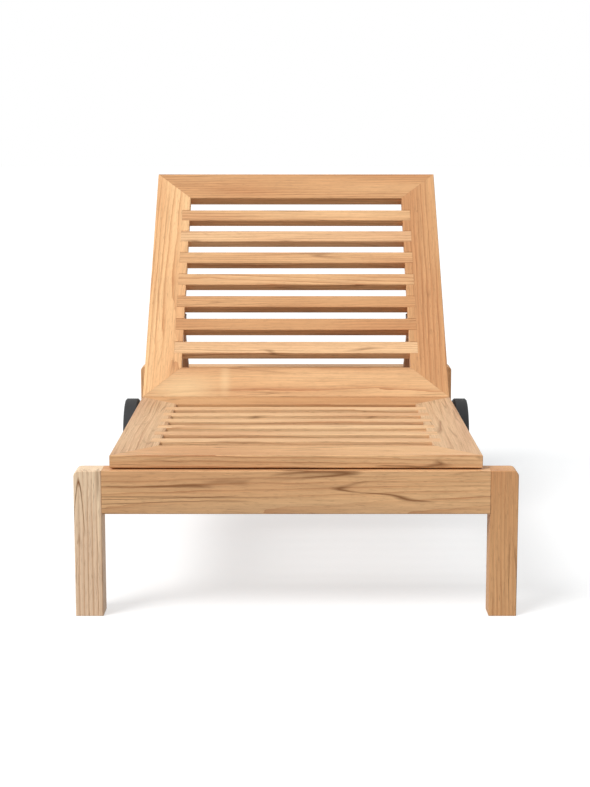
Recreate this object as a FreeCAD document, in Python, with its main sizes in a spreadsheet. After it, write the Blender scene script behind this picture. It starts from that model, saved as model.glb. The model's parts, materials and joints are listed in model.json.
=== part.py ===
import FreeCAD, Part
import os
import re

import Sketcher
from FreeCAD import Placement, Rotation, Vector

# Slatted garden recliner in oiled hardwood, seen from its foot end along +Y.
# A low frame of two leg bridges and two side rails carries a fixed seat panel.
# A back panel of the same make is hinged behind it and stands on a prop.
# The prop's foot rod drops into toothed racks, and two wheels are on the rear legs.
# X is across, Y runs from the foot end to the head end and Z is up, in millimetres.
# The origin is on the floor, under the middle of the overall length.

SIZES = [
    ("frame_width", 700, "over the outer faces of the legs"),
    ("leg_width", 44, "leg section, across"),
    ("leg_depth", 44, "leg section, front to back"),
    ("leg_height", 235, "floor to the top of the legs"),
    ("leg_shoulder", 9, "radius of a leg's top outer corner"),
    ("arris", 1.2, "bevelled edges of the frame timber"),
    ("rear_foot_gap", 18, "floor to the underside of the rear legs"),
    ("apron_height", 69.5, "aprons, top to bottom"),
    ("apron_thickness", 44, "aprons, front to back"),
    ("tenon_length", 26, "apron tenons, along the apron"),
    ("tenon_thickness", 12, "apron tenons, front to back"),
    ("tenon_shoulder", 9.5, "apron above and below its tenon"),
    ("tenon_ease", 0.15, "mortise wider than its tenon, each side"),
    ("side_rail_thickness", 28, "side rails, across"),
    ("side_rail_height", 59.5, "side rails, top to bottom"),
    ("side_rail_inset", 2, "panel edge to the outer face of a side rail"),
    ("housing_depth", 8, "rail ends let into the aprons and side rails"),
    ("stretcher_thickness", 28, "cross stretcher, front to back"),
    ("stretcher_height", 45, "cross stretcher, top to bottom"),
    ("panel_lift", 2.5, "leg tops to the underside of the seat panel"),
    ("panel_margin", 12, "legs to the long edges of the panels"),
    ("panel_thickness", 20.5, "frame timber of both panels"),
    ("panel_arris", 1, "bevelled edges of the panel timber"),
    ("stile_width", 71.5, "long members of both panels"),
    ("seat_setback", 10, "seat panel behind the face of the front legs"),
    ("seat_front_width", 85, "front rail of the seat, front to back"),
    ("seat_rear_width", 83, "rear rail of the seat, front to back"),
    ("seat_slats", 6, "slats in the seat"),
    ("seat_gap", 34, "open gap beside each seat slat"),
    ("back_bottom_width", 73.5, "lowest rail of the back, along the back"),
    ("back_top_width", 72, "top rail of the back, along the back"),
    ("back_slats", 7, "slats in the back"),
    ("back_gap", 30, "open gap between the back slats"),
    ("back_end_gap", 35.5, "open gap between a back rail and its slat"),
    ("rear_setback", 6.5, "lowered back inside the rear of the legs"),
    ("slat_width", 30, "slats, across the grain"),
    ("slat_thickness", 18, "slats, which lie flush with the panel face"),
    ("slat_lap", 16, "slat ends let into the stiles"),
    ("recline_angle", 42.8, "back above the horizontal, in degrees"),
    ("hinge_gap", 13, "seat's rear edge to the hinge axis"),
    ("back_start", 2, "hinge axis to the lower edge of the back"),
    ("flat_clearance", 0.4, "lowered back above the side rails"),
    ("hinge_place", 160, "middle of the chair to the middle of a hinge"),
    ("hinge_length", 60, "hinges, across"),
    ("knuckle_length", 20, "middle knuckle of a hinge"),
    ("barrel_diameter", 10, "hinge knuckles"),
    ("pin_diameter", 6, "hinge pins"),
    ("pin_end", 1.5, "ends of a pin beyond the knuckles"),
    ("running_fit", 0.05, "radial clearance of pins and bolts in their bores"),
    ("side_play", 0.4, "clearance between parts that turn beside each other"),
    ("leaf_thickness", 2, "hinge leaves"),
    ("leaf_length", 55, "hinge axis to the end of a leaf"),
    ("pivot_along", 209, "hinge axis to the prop pivot, along the back"),
    ("pivot_drop", 22, "hinge axis to the prop pivot, square to the back"),
    ("foot_slope", 3.2, "fall of the line that the foot rod runs on, degrees"),
    ("arm_offset", 0.5, "arm's inner face outside the inner edge of a stile"),
    ("arm_thickness", 18, "prop arms, across"),
    ("arm_depth", 18, "prop arms, in their plane of swing"),
    ("bolt_diameter", 8, "pivot bolts of the prop"),
    ("bolt_head", 3.5, "thickness of the heads and nuts of those bolts"),
    ("bolt_head_width", 13, "those heads and nuts, over the flats"),
    ("bracket_plate", 2.5, "sheet of the prop brackets"),
    ("bracket_length", 44, "prop brackets, along the back"),
    ("bracket_ear", 24, "width of a bracket's ear at the bolt"),
    ("foot_rod_diameter", 14, "rod across the feet of the prop"),
    ("foot_rod_play", 2, "rod ends to the side rails"),
    ("rack_thickness", 16, "toothed racks, across"),
    ("rack_height", 34, "toothed racks, top to bottom"),
    ("rack_clearance", 0.5, "foot rod above the tips of the teeth"),
    ("notches", 5, "notches in each rack"),
    ("notches_ahead", 2, "notches in front of the one in use"),
    ("notch_pitch", 43, "spacing of the notches"),
    ("notch_depth", 9, "depth of the notches"),
    ("notch_ramp", 20, "sloping front side of a notch"),
    ("rack_end", 30, "rack beyond its first and last notch"),
    ("wheel_diameter", 158, "wheels"),
    ("wheel_width", 30, "wheels, across"),
    ("wheel_gap", 7, "leg to the inner face of the wheel"),
    ("tread_bevel", 3, "bevelled edges of the tread"),
    ("tyre_depth", 20, "tread to the rim"),
    ("rim_thickness", 5, "ring of the wheel centre under the tyre"),
    ("web_thickness", 7, "disc of the wheel centre"),
    ("hub_diameter", 36, "hub of the wheel centre"),
    ("hub_recess", 3, "hub face inside the face of the wheel"),
    ("axle_diameter", 10, "axle bolts"),
    ("axle_head_width", 16, "heads and nuts of the axle bolts, over the flats"),
    ("axle_head", 5, "thickness of those heads and nuts"),
    ("nut_seat", 7, "depth of the counterbore that holds an axle's nut"),
    ("spacer_width", 22, "hexagonal spacer between leg and wheel, over the flats"),
    ("cap_proud", 1, "hub cap beyond the face of the wheel"),
]

PLACES = [
    ("slat_pitch_seat", "slat_width + seat_gap"),
    ("slat_pitch_back", "slat_width + back_gap"),
    ("seat_length", "seat_front_width + seat_slats * slat_pitch_seat + seat_gap + seat_rear_width"),
    ("back_opening", "back_slats * slat_pitch_back - back_gap + 2 * back_end_gap"),
    ("back_length", "back_bottom_width + back_opening + back_top_width"),
    ("panels_length", "seat_length + hinge_gap + back_start + back_length"),
    ("frame_length", "seat_setback + panels_length + rear_setback"),
    ("overall_length", "frame_length - leg_depth / 2 + wheel_diameter / 2"),
    ("front_y", "-overall_length / 2"),
    ("rear_y", "front_y + frame_length"),
    ("rear_leg_y", "rear_y - leg_depth"),
    ("seat_front_y", "front_y + seat_setback"),
    ("seat_rear_y", "seat_front_y + seat_length"),
    ("hinge_y", "seat_rear_y + hinge_gap"),
    ("panel_under_z", "leg_height + panel_lift"),
    ("hinge_z", "panel_under_z + panel_thickness / 2 + flat_clearance"),
    ("leg_outer_x", "frame_width / 2"),
    ("leg_inner_x", "leg_outer_x - leg_width"),
    ("panel_x", "leg_inner_x - panel_margin"),
    ("opening_x", "panel_x - stile_width"),
    ("slat_x", "opening_x + slat_lap"),
    ("rail_outer_x", "panel_x - side_rail_inset"),
    ("rail_inner_x", "rail_outer_x - side_rail_thickness"),
    ("rail_under_z", "panel_under_z - side_rail_height"),
    ("rail_front_y", "front_y + apron_thickness - housing_depth"),
    ("rail_rear_y", "rear_leg_y + housing_depth"),
    ("stretcher_front_y", "seat_rear_y - seat_rear_width"),
    ("stretcher_rear_y", "stretcher_front_y + stretcher_thickness"),
    ("rack_inner_x", "rail_inner_x - rack_thickness"),
    ("arm_inner_x", "opening_x + arm_offset"),
    ("arm_outer_x", "arm_inner_x + arm_thickness"),
    ("ear_inner_x", "arm_inner_x - side_play - bracket_plate"),
    ("ear_outer_x", "arm_outer_x + side_play + bracket_plate"),
    ("panel_under", "-panel_thickness / 2"),
    ("panel_face", "panel_thickness / 2"),
    ("arm_length", "sqrt(pivot_along * pivot_along + pivot_drop * pivot_drop)"),
    ("pivot_y", "hinge_y + pivot_along * cos(recline_angle) + pivot_drop * sin(recline_angle)"),
    ("pivot_z", "hinge_z + pivot_along * sin(recline_angle) - pivot_drop * cos(recline_angle)"),
    (
        "foot_reach",
        "2 * (pivot_along * cos(recline_angle + foot_slope)"
        " + pivot_drop * sin(recline_angle + foot_slope))",
    ),
    ("foot_y", "hinge_y + foot_reach * cos(foot_slope)"),
    ("foot_z", "hinge_z - foot_reach * sin(foot_slope)"),
    ("rack_top", "-foot_rod_diameter / 2 - rack_clearance"),
    ("first_notch", "foot_reach - notches_ahead * notch_pitch"),
    ("last_notch", "first_notch + (notches - 1) * notch_pitch"),
    ("notch_wall", "foot_rod_diameter / 2 + rack_clearance"),
    ("wheel_radius", "wheel_diameter / 2"),
    ("axle_y", "rear_y - leg_depth / 2"),
    ("wheel_inner_x", "leg_outer_x + wheel_gap"),
    ("wheel_outer_x", "wheel_inner_x + wheel_width"),
    ("hub_outer_x", "wheel_outer_x - hub_recess"),
    ("hub_seat_x", "hub_outer_x - nut_seat"),
    ("nut_x", "hub_seat_x + side_play"),
    ("rim_radius", "wheel_radius - tyre_depth"),
    ("rim_inner_radius", "rim_radius - rim_thickness"),
]

SHEET_OF = {name: "Sizes." for name, value, note in SIZES}
SHEET_OF.update({name: "Places." for name, formula in PLACES})

doc = FreeCAD.newDocument("recliner")
pieces = []


def cell(text):
    """Write a formula of plain size names as an expression on the two sheets."""
    return re.sub(r"[a-z_]+", lambda word: SHEET_OF.get(word.group(), "") + word.group(), text)


def make_sheets():
    sizes = doc.addObject("Spreadsheet::Sheet", "Sizes")
    for row, (name, value, note) in enumerate(SIZES, start=1):
        sizes.set(f"A{row}", name.replace("_", " "))
        sizes.set(f"B{row}", str(value))
        sizes.set(f"C{row}", note)
        sizes.setAlias(f"B{row}", name)
    doc.recompute()
    places = doc.addObject("Spreadsheet::Sheet", "Places")
    for row, (name, formula) in enumerate(PLACES, start=1):
        places.set(f"A{row}", name.replace("_", " "))
        places.setAlias(f"B{row}", name)
        places.set(f"B{row}", "=" + cell(formula).replace("Places.", ""))
    doc.recompute()


def size(text):
    """The present value of a formula of size names."""
    return float(doc.Places.evalExpression(cell(text)))


def body(name, place=("0", "0", "0"), turn="0"):
    """A new piece. Its own X axis stays level, and it is turned about that axis."""
    piece = doc.addObject("PartDesign::Body", name)
    piece.Label = name
    piece.Placement = Placement(Vector(), Rotation(Vector(1, 0, 0), 1))
    for axis, text in zip("xyz", place):
        piece.setExpression(f".Placement.Base.{axis}", cell(text))
    piece.setExpression(".Placement.Rotation.Angle", cell(turn))
    pieces.append(piece)
    return piece


def sketch_on(piece, plane, start):
    """An empty sketch on an origin plane of the piece, lifted by start along its normal."""
    sketch = piece.newObject("Sketcher::SketchObject", piece.Name + "_sketch")
    origin_plane = next(item for item in piece.Origin.OriginFeatures if item.Role == plane)
    sketch.AttachmentSupport = [(origin_plane, "")]
    sketch.MapMode = "FlatFace"
    sketch.setExpression(".AttachmentOffset.Base.z", cell(start))
    return sketch


def bind_point(sketch, geometry, point, corner):
    """Hold one point of the sketch at a pair of formulas."""
    for kind, text in zip(("DistanceX", "DistanceY"), corner):
        rule = Sketcher.Constraint(kind, -1, 1, geometry, point, size(text))
        index = sketch.addConstraint(rule)
        sketch.setExpression(f"Constraints[{index}]", cell(text))


def outline(piece, plane, corners, start="0"):
    """A closed outline of straight sides through the corners."""
    sketch = sketch_on(piece, plane, start)
    points = [Vector(size(x), size(y), 0) for x, y in corners]
    count = len(points)
    for index in range(count):
        sketch.addGeometry(Part.LineSegment(points[index], points[(index + 1) % count]))
    for index in range(count):
        sketch.addConstraint(Sketcher.Constraint("Coincident", index, 2, (index + 1) % count, 1))
    for index, corner in enumerate(corners):
        bind_point(sketch, index, 1, corner)
    return sketch


def circles(piece, plane, rounds, start="0"):
    """Full circles, each given as its centre and diameter."""
    sketch = sketch_on(piece, plane, start)
    for index, (x, y, diameter) in enumerate(rounds):
        centre = Vector(size(x), size(y), 0)
        sketch.addGeometry(Part.Circle(centre, Vector(0, 0, 1), size(diameter) / 2))
        bind_point(sketch, index, 3, (x, y))
        rule = sketch.addConstraint(Sketcher.Constraint("Diameter", index, size(diameter)))
        sketch.setExpression(f"Constraints[{rule}]", cell(diameter))
    return sketch


def pad(piece, sketch, length):
    feature = piece.newObject("PartDesign::Pad", piece.Name + "_pad")
    feature.Profile = sketch
    feature.setExpression("Length", cell(length))
    doc.recompute()
    return feature


def pocket(piece, sketch, length):
    """Cut along the sketch's normal, and make sure that something was cut."""
    before = piece.Shape.Volume
    feature = piece.newObject("PartDesign::Pocket", piece.Name + "_pocket")
    feature.Profile = sketch
    feature.Reversed = True
    feature.setExpression("Length", cell(length))
    doc.recompute()
    if piece.Shape.Volume > before - 1:
        raise ValueError(f"a pocket of {piece.Name} cuts nothing")
    return feature


def repeat_along_y(piece, feature, sketch, pitch, count):
    """Repeat a feature along the sketch's upright axis."""
    pattern = piece.newObject("PartDesign::LinearPattern", piece.Name + "_pattern")
    pattern.Originals = [feature]
    pattern.Direction = (sketch, ["V_Axis"])
    pattern.setExpression("Length", cell(f"{pitch} * ({count} - 1)"))
    pattern.setExpression("Occurrences", cell(count))
    piece.Tip = pattern
    doc.recompute()
    return pattern


def revolve(piece, corners):
    """Turn a profile, given as place along X and radius, about the piece's own X axis."""
    sketch = outline(piece, "XY_Plane", corners)
    feature = piece.newObject("PartDesign::Revolution", piece.Name + "_turned")
    feature.Profile = sketch
    feature.ReferenceAxis = (sketch, ["H_Axis"])
    feature.Angle = 360
    doc.recompute()
    return feature


def ease(piece, kind, amount, chosen):
    """Bevel or round the edges of the last feature that the test picks."""
    base = piece.Tip
    edges = [f"Edge{n}" for n, edge in enumerate(base.Shape.Edges, start=1) if chosen(edge)]
    feature = piece.newObject("PartDesign::" + kind, piece.Name + "_eased")
    feature.Base = (base, edges)
    feature.setExpression(EASED_BY[kind], cell(amount))
    doc.recompute()
    return feature


def runs_along(edge, axis):
    """Whether a straight edge is parallel to an axis."""
    return isinstance(edge.Curve, Part.Line) and edge.Curve.Direction.cross(axis).Length < NEAR


EASED_BY = {"Chamfer": "Size", "Fillet": "Radius"}
NEAR = 0.001
ALONG_X = Vector(1, 0, 0)
ALONG_Y = Vector(0, 1, 0)
ALONG_Z = Vector(0, 0, 1)
SIDES = (("left", -1), ("right", 1))


def box(x_from, x_to, y_from, y_to):
    """The corners of a rectangle."""
    return [(x_from, y_from), (x_to, y_from), (x_to, y_to), (x_from, y_to)]


def hexagon(width):
    """The corners of a hexagon about the origin, with the given width over its flats."""
    flat = f"{width} / 2"
    half_side = f"{width} / 2 / sqrt(3)"
    tip = f"{width} / sqrt(3)"
    upper = [(flat, half_side), ("0", tip), (f"-{flat}", half_side)]
    return upper + [(f"-{flat}", f"-{half_side}"), ("0", f"-{tip}"), (flat, f"-{half_side}")]


def across(side, inner, outer):
    """Inner and outer places on one side of the chair, in rising order of X."""
    if side > 0:
        return inner, outer
    return f"-({outer})", f"-({inner})"


def span(pair):
    return f"({pair[1]}) - ({pair[0]})"


def make_leg(name, side, front, foot, tenon_front):
    """A square leg with a rounded outer shoulder and the mortise of its apron."""
    piece = body(name)
    width = across(side, "leg_inner_x", "leg_outer_x")
    section = outline(piece, "XY_Plane", box(*width, front, f"{front} + leg_depth"), foot)
    pad(piece, section, f"leg_height - ({foot})")
    outer = side * size("leg_outer_x")
    top = size("leg_height")

    def is_shoulder(edge):
        middle = edge.CenterOfMass
        return runs_along(edge, ALONG_Y) and max(abs(middle.x - outer), abs(middle.z - top)) < NEAR

    ease(piece, "Fillet", "leg_shoulder", is_shoulder)
    ease(piece, "Chamfer", "arris", lambda edge: runs_along(edge, ALONG_Z))
    mortise_x = across(side, "leg_inner_x", "leg_inner_x + tenon_length + tenon_ease")
    mortise = outline(
        piece,
        "XY_Plane",
        box(*mortise_x, f"{tenon_front} - tenon_ease", f"{tenon_front} + tenon_thickness + tenon_ease"),
        "leg_height - apron_height + tenon_shoulder - tenon_ease",
    )
    pocket(piece, mortise, "apron_height - 2 * tenon_shoulder + 2 * tenon_ease")
    return piece


def make_apron(name, front, tenon_front, housing_y):
    """An apron with a tenon at each end and housings for the side rails."""
    piece = body(name)
    length = ("-leg_inner_x", "leg_inner_x")
    board = box(front, f"{front} + apron_thickness", "leg_height - apron_height", "leg_height")
    pad(piece, outline(piece, "YZ_Plane", board, length[0]), span(length))
    ease(piece, "Chamfer", "arris", lambda edge: runs_along(edge, ALONG_X))
    tenon = box(
        tenon_front,
        f"{tenon_front} + tenon_thickness",
        "leg_height - apron_height + tenon_shoulder",
        "leg_height - tenon_shoulder",
    )
    ends = ("-leg_inner_x - tenon_length", "leg_inner_x + tenon_length")
    pad(piece, outline(piece, "YZ_Plane", tenon, ends[0]), span(ends))
    for name_side, side in SIDES:
        width = across(side, "rail_inner_x", "rail_outer_x")
        housing = outline(piece, "XY_Plane", box(*width, *housing_y), "rail_under_z")
        pocket(piece, housing, "side_rail_height")
    return piece


def make_bridges():
    """Two legs and an apron at each end, the aprons flush with the front of the legs."""
    for end, front, foot in (("front", "front_y", "0"), ("rear", "rear_leg_y", "rear_foot_gap")):
        tenon_front = f"{front} + (apron_thickness - tenon_thickness) / 2"
        for name_side, side in SIDES:
            leg = make_leg(f"{end}_leg_{name_side}", side, front, foot, tenon_front)
            if end == "rear":
                bore_axle(leg, side)
        if end == "front":
            housing_y = ("rail_front_y", "front_y + apron_thickness")
        else:
            housing_y = ("rear_leg_y", "rail_rear_y")
        make_apron(f"{end}_apron", front, tenon_front, housing_y)


def bore_axle(leg, side):
    width = across(side, "leg_inner_x", "leg_outer_x")
    bore = circles(
        leg, "YZ_Plane", [("axle_y", "wheel_radius", "axle_diameter + 2 * running_fit")], width[0]
    )
    pocket(leg, bore, span(width))


def make_rails():
    """Side rails let into the aprons, and the stretcher let into the side rails."""
    stretcher_y = ("stretcher_front_y", "stretcher_rear_y")
    for name_side, side in SIDES:
        rail = body(f"side_rail_{name_side}")
        width = across(side, "rail_inner_x", "rail_outer_x")
        board = box("rail_front_y", "rail_rear_y", "rail_under_z", "panel_under_z")
        pad(rail, outline(rail, "YZ_Plane", board, width[0]), span(width))
        seat = across(side, "rail_inner_x", "rail_inner_x + housing_depth")
        housing = outline(
            rail, "XY_Plane", box(*seat, *stretcher_y), "panel_under_z - stretcher_height"
        )
        pocket(rail, housing, "stretcher_height")
    stretcher = body("cross_stretcher")
    length = ("-rail_inner_x - housing_depth", "rail_inner_x + housing_depth")
    board = box(*stretcher_y, "panel_under_z - stretcher_height", "panel_under_z")
    pad(stretcher, outline(stretcher, "YZ_Plane", board, length[0]), span(length))


def make_panel(panel, place, turn, low, rails_named, widths, pitch, gap, slats, length):
    """A mitred frame with slats flush in its upper face, from its low edge along +Y.

    The piece's own Z = 0 is the middle of the timber.
    """
    low_rail, far_rail = widths
    far = f"({low} + {length})"
    inner_low = f"({low} + {low_rail})"
    inner_far = f"({far} - {far_rail})"
    slat_bed = "panel_face - slat_thickness"
    for name_side, side in SIDES:
        stile = body(f"{panel}_stile_{name_side}", place, turn)
        edge = "panel_x" if side > 0 else "-panel_x"
        inner = "opening_x" if side > 0 else "-opening_x"
        shape = [(edge, low), (edge, far), (inner, inner_far), (inner, inner_low)]
        pad(stile, outline(stile, "XY_Plane", shape, "panel_under"), "panel_thickness")
        ease(stile, "Chamfer", "panel_arris", lambda item: runs_along(item, ALONG_Y))
        lap = across(side, "opening_x - panel_arris", "slat_x")
        first = f"{inner_low} + {gap}"
        bed = outline(stile, "XY_Plane", box(*lap, first, f"{first} + slat_width"), slat_bed)
        repeat_along_y(stile, pocket(stile, bed, "slat_thickness"), bed, pitch, slats)
    made = []
    for rail_name, outer, inner in zip(rails_named, (low, far), (inner_low, inner_far)):
        rail = body(rail_name, place, turn)
        shape = [("-panel_x", outer), ("panel_x", outer), ("opening_x", inner), ("-opening_x", inner)]
        pad(rail, outline(rail, "XY_Plane", shape, "panel_under"), "panel_thickness")
        ease(rail, "Chamfer", "panel_arris", lambda item: runs_along(item, ALONG_X))
        made.append(rail)
    for index in range(int(size(slats))):
        slat = body(f"{panel}_slat_{index + 1}", place, turn)
        near = f"{inner_low} + {gap} + {index} * {pitch}"
        section = box(near, f"{near} + slat_width", slat_bed, "panel_face")
        pad(slat, outline(slat, "YZ_Plane", section, "-slat_x"), "2 * slat_x")
        ease(slat, "Chamfer", "panel_arris", lambda item: runs_along(item, ALONG_X))
    return made


def make_panels():
    make_panel(
        "seat",
        ("0", "seat_front_y", "panel_under_z + panel_thickness / 2"),
        "0",
        "0",
        ("seat_front_rail", "seat_rear_rail"),
        ("seat_front_width", "seat_rear_width"),
        "slat_pitch_seat",
        "seat_gap",
        "seat_slats",
        "seat_length",
    )
    bottom_rail, top_rail = make_panel(
        "back",
        ("0", "hinge_y", "hinge_z"),
        "recline_angle",
        "back_start",
        ("back_bottom_rail", "back_top_rail"),
        ("back_bottom_width", "back_top_width"),
        "slat_pitch_back",
        "back_end_gap",
        "back_slats",
        "back_length",
    )
    for name_side, side in SIDES:
        make_barrel_housing(bottom_rail, side)


def hinge_span(side):
    """Ends of one hinge in X."""
    return across(side, "hinge_place - hinge_length / 2", "hinge_place + hinge_length / 2")


def make_barrel_housing(rail, side):
    """The recess under the lower edge of the back that clears a hinge barrel."""
    ends = hinge_span(side)
    clear = "barrel_diameter / 2 + side_play"
    recess = box("back_start", clear, "panel_under", clear)
    sketch = outline(rail, "YZ_Plane", recess, f"{ends[0]} - pin_end - side_play")
    pocket(rail, sketch, "hinge_length + 2 * pin_end + 2 * side_play")


def make_leaf(name, side, place, turn, direction, under, middle):
    """A cranked hinge leaf: knuckles about the axis, a drop and a flap under the panel.

    direction is -1 for the leaf of the seat and 1 for the leaf of the back.
    """
    piece = body(name, place, turn)
    ends = hinge_span(side)
    sign = "" if direction > 0 else "-"
    barrel = circles(piece, "YZ_Plane", [("0", "0", "barrel_diameter")], ends[0])
    pad(piece, barrel, "hinge_length")
    near = f"{sign}(barrel_diameter / 2 - leaf_thickness)"
    outer = f"{sign}barrel_diameter / 2"
    flap_end = f"{sign}leaf_length"
    crank = [
        (near, "0"),
        (outer, "0"),
        (outer, under),
        (flap_end, under),
        (flap_end, f"{under} - leaf_thickness"),
        (near, f"{under} - leaf_thickness"),
    ]
    pad(piece, outline(piece, "YZ_Plane", crank, ends[0]), "hinge_length")
    reach = "barrel_diameter / 2 + side_play"
    clear = box(f"-({reach})", reach, f"-({reach})", reach)
    centre = f"{ends[0]} + hinge_length / 2"
    if middle:
        cheek = "(hinge_length - knuckle_length) / 2"
        pocket(piece, outline(piece, "YZ_Plane", clear, ends[0]), cheek)
        pocket(piece, outline(piece, "YZ_Plane", clear, f"{centre} + knuckle_length / 2"), cheek)
    else:
        gap = "knuckle_length + 2 * side_play"
        pocket(piece, outline(piece, "YZ_Plane", clear, f"{centre} - ({gap}) / 2"), gap)
    bore = circles(piece, "YZ_Plane", [("0", "0", "pin_diameter + 2 * running_fit")], ends[0])
    pocket(piece, bore, "hinge_length")


def make_hinges():
    axis = ("0", "hinge_y", "hinge_z")
    for name_side, side in SIDES:
        seat_under = "panel_under - flat_clearance"
        make_leaf(f"hinge_seat_leaf_{name_side}", side, axis, "0", -1, seat_under, False)
        make_leaf(f"hinge_back_leaf_{name_side}", side, axis, "recline_angle", 1, "panel_under", True)
        pin = body(f"hinge_pin_{name_side}", axis)
        start = f"{hinge_span(side)[0]} - pin_end"
        section = circles(pin, "YZ_Plane", [("0", "0", "pin_diameter")], start)
        pad(pin, section, "hinge_length + 2 * pin_end")


def make_brackets():
    """A channel of sheet under each stile of the back, and the bolt of the prop."""
    on_back = ("0", "hinge_y", "hinge_z")
    for name_side, side in SIDES:
        bracket = body(f"prop_bracket_{name_side}", on_back, "recline_angle")
        width = across(side, "ear_inner_x", "ear_outer_x")
        base = box(
            "pivot_along - bracket_length / 2",
            "pivot_along + bracket_length / 2",
            "panel_under - bracket_plate",
            "panel_under",
        )
        pad(bracket, outline(bracket, "YZ_Plane", base, width[0]), span(width))
        ear = [
            ("pivot_along - bracket_length / 2", "panel_under - bracket_plate / 2"),
            ("pivot_along + bracket_length / 2", "panel_under - bracket_plate / 2"),
            ("pivot_along + bracket_ear / 2", "-pivot_drop"),
            ("pivot_along + bracket_ear / 4", "-pivot_drop - bracket_ear / 2"),
            ("pivot_along - bracket_ear / 4", "-pivot_drop - bracket_ear / 2"),
            ("pivot_along - bracket_ear / 2", "-pivot_drop"),
        ]
        pad(bracket, outline(bracket, "YZ_Plane", ear, width[0]), "bracket_plate")
        pad(bracket, outline(bracket, "YZ_Plane", ear, f"{width[1]} - bracket_plate"), "bracket_plate")
        hole = [("pivot_along", "-pivot_drop", "bolt_diameter + 2 * running_fit")]
        pocket(bracket, circles(bracket, "YZ_Plane", hole, width[0]), span(width))
        bolt = body(f"prop_bolt_{name_side}", ("0", "pivot_y", "pivot_z"))
        shank = circles(bolt, "YZ_Plane", [("0", "0", "bolt_diameter")], width[0])
        pad(bolt, shank, span(width))
        for start in (f"{width[0]} - bolt_head", width[1]):
            pad(bolt, outline(bolt, "YZ_Plane", hexagon("bolt_head_width"), start), "bolt_head")


PROP_TURN = "atan2(foot_z - pivot_z; foot_y - pivot_y)"


def make_prop():
    """Two arms that hang from the back and carry the foot rod."""
    at_pivot = ("0", "pivot_y", "pivot_z")
    for name_side, side in SIDES:
        arm = body(f"prop_arm_{name_side}", at_pivot, PROP_TURN)
        width = across(side, "arm_inner_x", "arm_outer_x")
        half = "arm_depth / 2"
        bar = box("0", "arm_length", f"-{half}", half)
        pad(arm, outline(arm, "YZ_Plane", bar, width[0]), "arm_thickness")
        for end in ("0", "arm_length"):
            pad(arm, circles(arm, "YZ_Plane", [(end, "0", "arm_depth")], width[0]), "arm_thickness")
        holes = [
            ("0", "0", "bolt_diameter + 2 * running_fit"),
            ("arm_length", "0", "foot_rod_diameter + 2 * running_fit"),
        ]
        pocket(arm, circles(arm, "YZ_Plane", holes, width[0]), "arm_thickness")
    rod = body("prop_foot_rod", ("0", "foot_y", "foot_z"))
    length = ("-rail_inner_x + foot_rod_play", "rail_inner_x - foot_rod_play")
    pad(rod, circles(rod, "YZ_Plane", [("0", "0", "foot_rod_diameter")], length[0]), span(length))


def make_racks():
    """Toothed racks on the side rails, along the line that the foot rod runs on."""
    for name_side, side in SIDES:
        rack = body(f"ratchet_rack_{name_side}", ("0", "hinge_y", "hinge_z"), "-foot_slope")
        width = across(side, "rack_inner_x", "rail_inner_x")
        blank = box("first_notch - rack_end", "last_notch + rack_end", "rack_top - rack_height", "rack_top")
        pad(rack, outline(rack, "YZ_Plane", blank, width[0]), "rack_thickness")
        for index in range(int(size("notches"))):
            at = f"first_notch + {index} * notch_pitch"
            notch = [
                (f"{at} + notch_wall", "rack_top"),
                (f"{at} + notch_wall", "rack_top - notch_depth"),
                (f"{at} - notch_wall / 2", "rack_top - notch_depth"),
                (f"{at} - notch_ramp", "rack_top"),
            ]
            pocket(rack, outline(rack, "YZ_Plane", notch, width[0]), "rack_thickness")


def make_wheels():
    """Plain wheels outside the rear legs, each on an axle bolt with a spacer."""
    for name_side, side in SIDES:
        sign = "" if side > 0 else "-"
        at_axle = ("0", "axle_y", "wheel_radius")

        def turned(name, profile):
            piece = body(f"{name}_{name_side}", at_axle)
            revolve(piece, [(f"{sign}({along})", radius) for along, radius in profile])
            return piece

        turned(
            "wheel_tyre",
            [
                ("wheel_inner_x", "rim_radius"),
                ("wheel_outer_x", "rim_radius"),
                ("wheel_outer_x", "wheel_radius - tread_bevel"),
                ("wheel_outer_x - tread_bevel", "wheel_radius"),
                ("wheel_inner_x + tread_bevel", "wheel_radius"),
                ("wheel_inner_x", "wheel_radius - tread_bevel"),
            ],
        )
        bore = "axle_diameter / 2 + running_fit"
        hub = "hub_diameter / 2"
        seat = "axle_head_width / sqrt(3) + side_play"
        turned(
            "wheel_centre",
            [
                ("wheel_inner_x", bore),
                ("hub_seat_x", bore),
                ("hub_seat_x", seat),
                ("hub_outer_x", seat),
                ("hub_outer_x", hub),
                ("wheel_inner_x + web_thickness", hub),
                ("wheel_inner_x + web_thickness", "rim_inner_radius"),
                ("wheel_outer_x", "rim_inner_radius"),
                ("wheel_outer_x", "rim_radius"),
                ("wheel_inner_x", "rim_radius"),
            ],
        )
        turned(
            "wheel_cap",
            [
                ("hub_outer_x", "0"),
                ("wheel_outer_x + cap_proud", "0"),
                ("wheel_outer_x + cap_proud", hub),
                ("hub_outer_x", hub),
            ],
        )
        bolt = body(f"axle_bolt_{name_side}", at_axle)
        shank = across(side, "leg_inner_x", "nut_x")
        pad(bolt, circles(bolt, "YZ_Plane", [("0", "0", "axle_diameter")], shank[0]), span(shank))
        head = across(side, "leg_inner_x - axle_head", "leg_inner_x")
        nut = across(side, "nut_x", "nut_x + axle_head")
        for start, stop in (head, nut):
            pad(bolt, outline(bolt, "YZ_Plane", hexagon("axle_head_width"), start), "axle_head")
        spacer = body(f"axle_spacer_{name_side}", at_axle)
        sleeve = across(side, "leg_outer_x", "wheel_inner_x - side_play")
        pad(spacer, outline(spacer, "YZ_Plane", hexagon("spacer_width"), sleeve[0]), span(sleeve))
        hole = [("0", "0", "axle_diameter + 2 * running_fit")]
        pocket(spacer, circles(spacer, "YZ_Plane", hole, sleeve[0]), span(sleeve))


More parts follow.
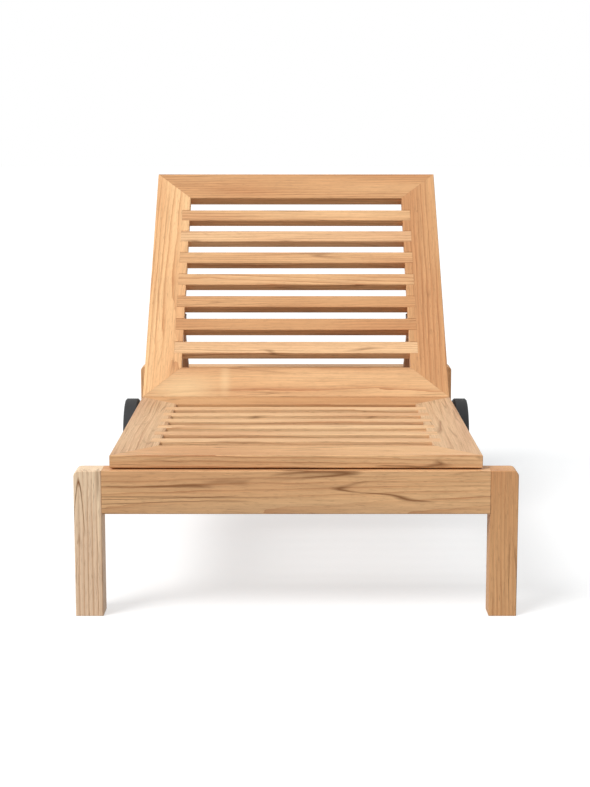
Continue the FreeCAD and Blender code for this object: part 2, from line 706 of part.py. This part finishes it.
def check_and_write():
    """Stop on any failed feature or shape, then write one file for each piece."""
    doc.recompute()
    for item in doc.Objects:
        if "Invalid" in item.State or "Error" in item.State:
            raise ValueError(f"{item.Name} failed: {item.State}")
    for piece in pieces:
        if piece.Shape.isNull() or not piece.Shape.isValid() or len(piece.Shape.Solids) != 1:
            raise ValueError(f"{piece.Name} has no single valid solid")
    os.makedirs("parts", exist_ok=True)
    for piece in pieces:
        piece.Shape.exportStep(f"parts/{piece.Label}.step")
    print(len(pieces), "pieces written")


make_sheets()
make_bridges()
make_rails()
make_panels()
make_hinges()
make_brackets()
make_prop()
make_racks()
make_wheels()
check_and_write()
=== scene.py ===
"""Looks of the slatted garden recliner: its timber, metal and rubber, a pale floor, light and camera."""

import json
import math
import random

import bpy
from mathutils import Euler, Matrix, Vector


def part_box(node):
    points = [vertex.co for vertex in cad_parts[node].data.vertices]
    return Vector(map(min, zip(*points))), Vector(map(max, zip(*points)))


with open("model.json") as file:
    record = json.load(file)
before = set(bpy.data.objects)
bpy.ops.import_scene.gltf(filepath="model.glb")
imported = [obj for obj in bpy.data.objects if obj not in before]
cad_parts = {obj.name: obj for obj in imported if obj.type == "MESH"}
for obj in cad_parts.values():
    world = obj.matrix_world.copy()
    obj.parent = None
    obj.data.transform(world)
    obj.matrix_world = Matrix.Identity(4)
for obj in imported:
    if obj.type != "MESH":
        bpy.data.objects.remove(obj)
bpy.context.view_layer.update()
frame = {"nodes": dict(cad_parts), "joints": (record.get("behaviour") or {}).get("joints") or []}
nodes = frame["nodes"]

# Timber, in metres: the log that each board is cut from, and the relief of its surface
RING_SPACING = 0.0052
RING_WANDER = 0.010
RIPPLE = 0.0022
LOG_REACH = 0.09
LOG_TILT = math.radians(1.3)
GRAIN_RELIEF = 0.00022
SOFT_EDGE = 0.0012

# How quickly each pattern of the timber changes, per metre along a board and across it
BENDS = (2.6, 11.0, 11.0)
RIPPLES = (17.0, 70.0, 70.0)
RINGS = (0.05, 1.0, 1.0)
RING_PATCHES = (3.0, 30.0, 30.0)
FIBRES = (9.0, 430.0, 430.0)
PORES = (60.0, 1300.0, 1300.0)
VEINS = (1.2, 24.0, 24.0)
VEINS_PER_WAVE = 12.0
VEIN_PATCHES = (7.0, 26.0, 26.0)
TONE_PATCHES = (2.0, 14.0, 14.0)

# Light: an even sky, a wide lamp overhead and a softer-edged key from the front left
SKY_LEVEL = 0.42
SKY_TINT = (0.92, 0.97, 1.0, 1.0)
OVERHEAD_POWER = 0.45
OVERHEAD_ANGLE = math.radians(100)
KEY_POWER = 2.3
KEY_ANGLE = math.radians(26)
KEY_RISE = math.radians(46)
KEY_TURN = math.radians(48)

# Floor: half its width, how far below the feet it lies, its own shade and what the camera sees added
FLOOR_REACH = 30.0
FLOOR_DROP = 0.0004
FLOOR_SHADE = 0.48
FLOOR_MOTTLE = 0.01
FLOOR_GLOW = 0.60

# Camera, which looks along +Y and a little down
CAMERA_PLACE = (0.0, -3.2624, 0.7676)
CAMERA_DROP = math.radians(8.88)
CAMERA_LENS = 77.92
CAMERA_SHIFT = -0.0014


def srgb(red, green, blue):
    """A colour as it shows on screen, in 0 to 255, as the shader's linear colour."""
    parts = [value / 255 for value in (red, green, blue)]
    linear = [v / 12.92 if v <= 0.04045 else ((v + 0.055) / 1.055) ** 2.4 for v in parts]
    return (*linear, 1.0)


class Surface:
    """A material's nodes, with one short call for each kind."""

    def __init__(self, name):
        self.material = bpy.data.materials.new(name)
        self.material.use_nodes = True
        self.tree = self.material.node_tree
        self.tree.nodes.clear()
        self.shader = self.add("ShaderNodeBsdfPrincipled")
        output = self.add("ShaderNodeOutputMaterial")
        self.feed(output.inputs["Surface"], self.shader.outputs["BSDF"])

    def add(self, kind, **settings):
        made = self.tree.nodes.new(kind)
        for name, value in settings.items():
            setattr(made, name, value)
        return made

    def feed(self, socket, value):
        """Links another node's output to a socket, or sets its plain value."""
        if isinstance(value, bpy.types.NodeSocket):
            self.tree.links.new(value, socket)
        else:
            socket.default_value = value

    def set(self, name, value):
        self.feed(self.shader.inputs[name], value)

    def place(self):
        return self.add("ShaderNodeTexCoord").outputs["Object"]

    def turned(self, vector, place, turn):
        made = self.add("ShaderNodeMapping")
        self.feed(made.inputs["Vector"], vector)
        self.feed(made.inputs["Location"], place)
        self.feed(made.inputs["Rotation"], turn)
        return made.outputs["Vector"]

    def vector(self, operation, first, second):
        made = self.add("ShaderNodeVectorMath", operation=operation)
        self.feed(made.inputs[0], first)
        self.feed(made.inputs[1], second)
        return made.outputs["Vector"]

    def sum(self, operation, first, second):
        made = self.add("ShaderNodeMath", operation=operation)
        self.feed(made.inputs[0], first)
        self.feed(made.inputs[1], second)
        return made.outputs["Value"]

    def noise(self, vector, stretch, detail=2.0, roughness=0.5):
        """Noise whose features are finer along each axis by the numbers of stretch, per metre."""
        made = self.add("ShaderNodeTexNoise")
        self.feed(made.inputs["Vector"], self.vector("MULTIPLY", vector, stretch))
        self.feed(made.inputs["Scale"], 1.0)
        self.feed(made.inputs["Detail"], detail)
        self.feed(made.inputs["Roughness"], roughness)
        return made.outputs

    def range(self, value, low, high, to_low=0.0, to_high=1.0, kind="LINEAR"):
        made = self.add("ShaderNodeMapRange", interpolation_type=kind)
        for name, part in (
            ("Value", value),
            ("From Min", low),
            ("From Max", high),
            ("To Min", to_low),
            ("To Max", to_high),
        ):
            self.feed(made.inputs[name], part)
        return made.outputs["Result"]

    def ramp(self, value, *stops):
        """Colours from pairs of a place from 0 to 1 and a colour."""
        made = self.add("ShaderNodeValToRGB")
        elements = made.color_ramp.elements
        for index, (place, colour) in enumerate(stops):
            element = elements[index] if index < 2 else elements.new(place)
            element.position = place
            element.color = colour
        self.feed(made.inputs["Fac"], value)
        return made.outputs["Color"]

    def mix(self, share, first, second, blend="MIX"):
        made = self.add("ShaderNodeMix", data_type="RGBA", blend_type=blend)
        self.feed(made.inputs[0], share)
        self.feed(made.inputs[6], first)
        self.feed(made.inputs[7], second)
        return made.outputs[2]

    def bump(self, height, distance, strength=1.0):
        made = self.add("ShaderNodeBump")
        edges = self.add("ShaderNodeBevel", samples=4)
        self.feed(edges.inputs["Radius"], SOFT_EDGE)
        self.feed(made.inputs["Normal"], edges.outputs["Normal"])
        self.feed(made.inputs["Height"], height)
        self.feed(made.inputs["Distance"], distance)
        self.feed(made.inputs["Strength"], strength)
        self.set("Normal", made.outputs["Normal"])


def grey(level):
    return (level, level, level, 1.0)


def middle(name):
    low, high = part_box(name)
    return (low + high) / 2


def near(board, vector, centre, spread):
    """1 at the centre of a stretched patch, and 0 from its edge on."""
    apart = board.vector("SUBTRACT", vector, centre)
    apart = board.vector("MULTIPLY", apart, [1 / part for part in spread])
    length = board.add("ShaderNodeVectorMath", operation="LENGTH")
    board.feed(length.inputs[0], apart)
    return board.range(length.outputs["Value"], 0.0, 1.0, 1.0, 0.0, "SMOOTHSTEP")


def drift(board, vector, pace, amount):
    """A wander of the grain to its sides, up to half of amount each way."""
    wave = board.noise(vector, pace, 2.0)["Color"]
    wave = board.vector("SUBTRACT", wave, (0.5, 0.5, 0.5))
    return board.vector("MULTIPLY", wave, (0.0, amount, amount))


LATE_WOOD = srgb(186, 138, 98)
VEIN = srgb(138, 92, 54)
PORE = srgb(140, 96, 60)


def timber(name, turn, tones, figured):
    """Oiled teak, solid right through: the board is cut from a log whose rings lie round a far centre line.

    turn brings the board's length to X. tones are its yellow, plain and rosy colour. figured is the
    strength of its dark lines.
    """
    chance = random.Random(name)
    board = Surface(f"teak_{name}")
    lean = [chance.uniform(-LOG_TILT, LOG_TILT) for _ in range(2)]
    turn = Euler((turn[0], turn[1] + lean[0], turn[2] + lean[1]))
    side = chance.uniform(0, 2 * math.pi)
    away = LOG_REACH * chance.uniform(0.8, 1.4)
    log = Vector((chance.uniform(2, 9), away * math.cos(side), away * math.sin(side)))
    offset = log - turn.to_matrix() @ middle(name)
    straight = board.turned(board.place(), offset, turn)

    bend = drift(board, straight, BENDS, RING_WANDER)
    rippled = board.vector("ADD", straight, drift(board, straight, RIPPLES, RIPPLE))
    grown = board.vector("ADD", rippled, bend)
    for knot, spread in KNOTS.get(name, ()):
        centre = turn.to_matrix() @ Vector(knot) + offset
        apart = board.vector("SUBTRACT", straight, centre)
        pull = board.sum("MULTIPLY", near(board, straight, centre, spread), -0.8)
        grown = board.vector("ADD", grown, board.vector("MULTIPLY", apart, pull))

    rings = board.add(
        "ShaderNodeTexWave", wave_type="RINGS", rings_direction="X", wave_profile="SAW"
    )
    board.feed(rings.inputs["Vector"], board.vector("MULTIPLY", grown, RINGS))
    # At scale 1 the rings' wave turns by 20 radians per metre
    board.feed(rings.inputs["Scale"], 2 * math.pi / (20 * RING_SPACING * chance.uniform(0.8, 1.5)))
    late = board.sum("POWER", rings.outputs["Fac"], 4.0)
    strength = board.noise(grown, RING_PATCHES, 2.0)["Fac"]
    strength = board.range(strength, 0.38, 0.62, 0.15, 1.0)
    figure = board.sum("MULTIPLY", late, strength)

    fibre = board.noise(straight, FIBRES, 3.0, 0.62)["Fac"]
    pores = board.range(board.noise(rippled, PORES, 1.0)["Fac"], 0.6, 0.72)

    flow = board.noise(grown, VEINS, 1.0)["Fac"]
    flow = board.sum("PINGPONG", board.sum("MULTIPLY", flow, VEINS_PER_WAVE), 0.5)
    line = board.range(flow, 0.0, 0.12, 1.0, 0.0)
    fade = board.range(board.noise(grown, VEIN_PATCHES, 2.0)["Fac"], 0.5, 0.62)
    vein = board.sum("MULTIPLY", board.sum("MULTIPLY", line, fade), figured)

    yellow, plain, rosy = tones
    tone = board.noise(straight, TONE_PATCHES, 2.0)["Fac"]
    colour = board.ramp(tone, (0.34, yellow), (0.66, rosy), (0.5, plain))
    colour = board.mix(board.sum("MULTIPLY", figure, 0.75), colour, LATE_WOOD, "MULTIPLY")
    grain = board.ramp(fibre, (0.32, grey(0.84)), (0.66, grey(1.1)))
    colour = board.mix(0.85, colour, grain, "MULTIPLY")
    colour = board.mix(board.sum("MULTIPLY", vein, 0.7), colour, VEIN)
    colour = board.mix(board.sum("MULTIPLY", pores, 0.4), colour, PORE)
    # Colour patches mixed in: sapwood, dark lines, and a darker grey band along the front apron's lower
    # edge
    for place, spread, share, patch_colour in COLOUR_PATCHES.get(name, ()):
        centre = turn.to_matrix() @ Vector(place) + offset
        patch = board.sum("MULTIPLY", near(board, rippled, centre, spread), share)
        colour = board.mix(patch, colour, patch_colour)
    board.set("Base Color", colour)

    board.set("Roughness", board.range(fibre, 0.3, 0.7, 0.62, 0.48))
    board.set("Specular IOR Level", 0.3)
    height = board.sum("SUBTRACT", fibre, pores)
    height = board.sum("SUBTRACT", height, board.sum("MULTIPLY", figure, 0.35))
    board.bump(height, GRAIN_RELIEF, 0.6)
    return board.material


def brushed_steel(name, along):
    """Satin steel with fine lines along the axis whose number in along is small."""
    metal = Surface(name)
    place = metal.place()
    lines = metal.noise(place, along, 3.0, 0.65)["Fac"]
    marks = metal.noise(place, (45.0, 45.0, 45.0), 3.0)["Fac"]
    tint = metal.ramp(lines, (0.3, srgb(150, 150, 150)), (0.7, srgb(196, 197, 199)))
    shade = metal.ramp(marks, (0.35, grey(0.78)), (0.6, grey(1.0)))
    metal.set("Base Color", metal.mix(1.0, tint, shade, "MULTIPLY"))
    metal.set("Metallic", 1.0)
    metal.set("Roughness", metal.range(marks, 0.3, 0.7, 0.42, 0.26))
    metal.bump(lines, 0.00004, 0.5)
    return metal.material


def black_plastic(name):
    """Moulded black plastic: a fine even texture, a little dust and wear."""
    plastic = Surface(name)
    place = plastic.place()
    texture = plastic.noise(place, (1500.0, 1500.0, 1500.0), 1.0)["Fac"]
    dust = plastic.noise(place, (28.0, 28.0, 28.0), 4.0, 0.6)["Fac"]
    plastic.set("Base Color", plastic.ramp(dust, (0.4, srgb(34, 35, 37)), (0.72, srgb(52, 53, 55))))
    plastic.set("Roughness", plastic.range(dust, 0.35, 0.7, 0.46, 0.62))
    plastic.bump(texture, 0.00006, 0.6)
    return plastic.material


def rubber(name):
    """Dark rubber: fine tooth, faint moulding lines and pale scuffs."""
    tyre = Surface(name)
    place = tyre.place()
    tooth = tyre.noise(place, (900.0, 900.0, 900.0), 2.0)["Fac"]
    scuffs = tyre.noise(place, (60.0, 22.0, 22.0), 5.0, 0.62)["Fac"]
    tyre.set("Base Color", tyre.ramp(scuffs, (0.42, srgb(30, 32, 35)), (0.74, srgb(54, 55, 57))))
    tyre.set("Roughness", tyre.range(scuffs, 0.4, 0.7, 0.62, 0.8))
    tyre.bump(tooth, 0.0001, 0.5)
    return tyre.material


def dress(name, material):
    """Puts a material in every slot of a node."""
    for slot in nodes[name].material_slots:
        slot.material = material


QUARTER = math.pi / 2
recline = next(joint for joint in frame["joints"] if joint["name"] == "back_recline")
back_rise = math.radians(-recline["range_deg"][0])
prop_low, prop_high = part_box("prop_arm_left")
prop_fall = math.atan2(prop_high.z - prop_low.z, prop_high.y - prop_low.y)

# Turns that bring a board's length to X
ALONG_X = (0.0, 0.0, 0.0)
ALONG_Y = (0.0, 0.0, -QUARTER)
ALONG_Z = (0.0, QUARTER, 0.0)
ALONG_BACK = (-back_rise, 0.0, -QUARTER)
ACROSS_BACK = (-back_rise, 0.0, 0.0)
ALONG_PROP = (prop_fall, 0.0, -QUARTER)


def tones(red, green, blue):
    """A board's yellow, plain and rosy colour about its own."""
    return srgb(red + 6, green + 8, blue + 8), srgb(red, green, blue), srgb(red - 10, green - 14, blue - 12)


CREAM = tones(248, 218, 182)
OAT = tones(236, 190, 142)
SAND = tones(216, 174, 132)
HONEY = tones(242, 190, 136)
WARM = tones(226, 176, 126)
TAN = tones(214, 160, 110)
DEEP = tones(184, 130, 88)

# Marks that single boards show: a place on the board, then half its spread along the board,
# and on the two axes across it. A colour patch has its share and colour as well.
KNOTS = {
    "back_bottom_rail": [
        ((-0.155, -0.006, 0.285), (0.07, 0.03, 0.06)),
        ((-0.118, -0.006, 0.285), (0.06, 0.03, 0.06)),
    ],
    "back_slat_4": [((-0.179, 0.186, 0.464), (0.05, 0.016, 0.03))],
    "back_slat_5": [((0.069, 0.229, 0.503), (0.12, 0.014, 0.03))],
}
DARK = srgb(122, 78, 44)
# A greyer brown, mixed into a band along the front apron's lower edge so that its face is darker towards
# the bottom
APRON_LOW_BAND = srgb(160, 126, 96)
SAPWOOD = srgb(252, 222, 170)
COLOUR_PATCHES = {
    "back_bottom_rail": [
        ((-0.215, -0.021, 0.272), (0.11, 0.05, 0.06), 0.45, SAPWOOD),
        ((-0.137, -0.006, 0.285), (0.016, 0.06, 0.05), 0.3, SAPWOOD),
    ],
    "front_leg_left": [((-0.312, -0.64, 0.222), (0.05, 0.03, 0.004), 0.6, DARK)],
    "front_apron": [
        ((-0.2, -0.64, 0.193), (0.3, 0.03, 0.0024), 0.6, DARK),
        # The front apron is darker and greyer along its lower edge
        ((0.0, -0.64, 0.17), (0.6, 0.05, 0.026), 0.3, APRON_LOW_BAND),
    ],
}

# How the names of boards start, the way they run, their tones and the strength of their dark lines
BOARDS = (
    (("front_leg_left",), ALONG_Z, CREAM, 1.5),
    (("rear_leg_left",), ALONG_Z, WARM, 1.0),
    (("front_leg_right", "rear_leg_right"), ALONG_Z, TAN, 1.1),
    (("front_apron", "rear_apron", "cross_stretcher"), ALONG_X, WARM, 1.5),
    (("side_rail", "ratchet_rack"), ALONG_Y, WARM, 0.9),
    (("seat_stile",), ALONG_Y, SAND, 1.0),
    (("seat_front_rail",), ALONG_X, WARM, 1.3),
    (("seat_rear_rail",), ALONG_X, TAN, 0.9),
    (("seat_slat",), ALONG_X, OAT, 0.9),
    (("back_stile_left",), ALONG_BACK, HONEY, 0.5),
    (("back_stile_right",), ALONG_BACK, TAN, 0.6),
    (("back_bottom_rail",), ACROSS_BACK, WARM, 0.8),
    (("back_top_rail",), ACROSS_BACK, TAN, 0.6),
    (("back_slat_4", "back_slat_5", "back_slat_7"), ACROSS_BACK, WARM, 0.9),
    (("back_slat_1", "back_slat_6"), ACROSS_BACK, OAT, 0.9),
    (("back_slat_2", "back_slat_3"), ACROSS_BACK, TAN, 0.9),
    (("prop_arm",), ALONG_PROP, DEEP, 0.8),
    (("prop_foot_rod",), ALONG_X, DEEP, 0.8),
)
for families, turn, family_tones, figured in BOARDS:
    for name in sorted(nodes):
        if name.startswith(families):
            dress(name, timber(name, turn, family_tones, figured))

steel = brushed_steel("satin_steel", (12.0, 700.0, 700.0))
plastic = black_plastic("moulded_black")
tyre_rubber = rubber("tread_rubber")
FITTINGS = (
    (("hinge_", "prop_bracket", "prop_bolt", "axle_bolt"), steel),
    (("axle_spacer", "wheel_centre", "wheel_cap"), plastic),
    (("wheel_tyre",), tyre_rubber),
)
for families, material in FITTINGS:
    for name in sorted(nodes):
        if name.startswith(families):
            dress(name, material)


def make_floor():
    """A wide pale floor. The camera and reflections see it lighter than the light alone makes it."""
    data = bpy.data.meshes.new("floor")
    corners = [(FLOOR_REACH * x, FLOOR_REACH * y, 0) for x, y in ((-1, -1), (1, -1), (1, 1), (-1, 1))]
    data.from_pydata(corners, [], [(0, 1, 2, 3)])
    floor = bpy.data.objects.new("floor", data)
    floor.location = (0.0, 0.0, -FLOOR_DROP)
    bpy.context.scene.collection.objects.link(floor)
    ground = Surface("pale_floor")
    ground.set("Roughness", 0.9)
    ground.set("Specular IOR Level", 0.0)
    mottle = ground.noise(ground.place(), (3.0, 3.0, 3.0), 3.0)["Fac"]
    shades = ((0.3, grey(FLOOR_SHADE)), (0.7, grey(FLOOR_SHADE + FLOOR_MOTTLE)))
    ground.set("Base Color", ground.ramp(mottle, *shades))
    ground.set("Emission Color", grey(1.0))
    rays = ground.add("ShaderNodeLightPath").outputs
    seen = ground.sum("MAXIMUM", rays["Is Camera Ray"], rays["Is Glossy Ray"])
    seen = ground.sum("MAXIMUM", seen, rays["Is Transmission Ray"])
    ground.set("Emission Strength", ground.sum("MULTIPLY", seen, FLOOR_GLOW))
    data.materials.append(ground.material)


def make_sky():
    """White for the camera and reflections, and a softer, slightly cool light on the object."""
    world = bpy.data.worlds.new("studio")
    bpy.context.scene.world = world
    world.use_nodes = True
    tree = world.node_tree
    tree.nodes.clear()
    rays = tree.nodes.new("ShaderNodeLightPath").outputs
    seen = rays["Is Camera Ray"]
    for name in ("Is Glossy Ray", "Is Transmission Ray"):
        either = tree.nodes.new("ShaderNodeMath")
        either.operation = "MAXIMUM"
        tree.links.new(seen, either.inputs[0])
        tree.links.new(rays[name], either.inputs[1])
        seen = either.outputs[0]
    blend = tree.nodes.new("ShaderNodeMixShader")
    output = tree.nodes.new("ShaderNodeOutputWorld")
    tree.links.new(seen, blend.inputs[0])
    for index, level, colour in ((1, SKY_LEVEL, SKY_TINT), (2, 1.0, grey(1.0))):
        sky = tree.nodes.new("ShaderNodeBackground")
        sky.inputs["Color"].default_value = colour
        sky.inputs["Strength"].default_value = level
        tree.links.new(sky.outputs[0], blend.inputs[index])
    tree.links.new(blend.outputs[0], output.inputs["Surface"])


def make_lamp(name, power, angle, rise, turn):
    """A wide far lamp. rise is its height over the horizon, turn how far left of the camera it stands."""
    light = bpy.data.lights.new(name, "SUN")
    light.energy = power
    light.angle = angle
    lamp = bpy.data.objects.new(name, light)
    lamp.rotation_euler = (QUARTER - rise, 0.0, -turn)
    bpy.context.scene.collection.objects.link(lamp)


def make_camera():
    data = bpy.data.cameras.new("camera")
    data.lens = CAMERA_LENS
    data.sensor_width = 36.0
    data.shift_x = CAMERA_SHIFT
    camera = bpy.data.objects.new("camera", data)
    camera.location = CAMERA_PLACE
    camera.rotation_euler = (QUARTER - CAMERA_DROP, 0.0, 0.0)
    bpy.context.scene.collection.objects.link(camera)
    bpy.context.scene.camera = camera


make_floor()
make_sky()
make_lamp("overhead", OVERHEAD_POWER, OVERHEAD_ANGLE, QUARTER, 0.0)
make_lamp("key", KEY_POWER, KEY_ANGLE, KEY_RISE, KEY_TURN)
make_camera()
bpy.context.scene.view_settings.view_transform = "Standard"
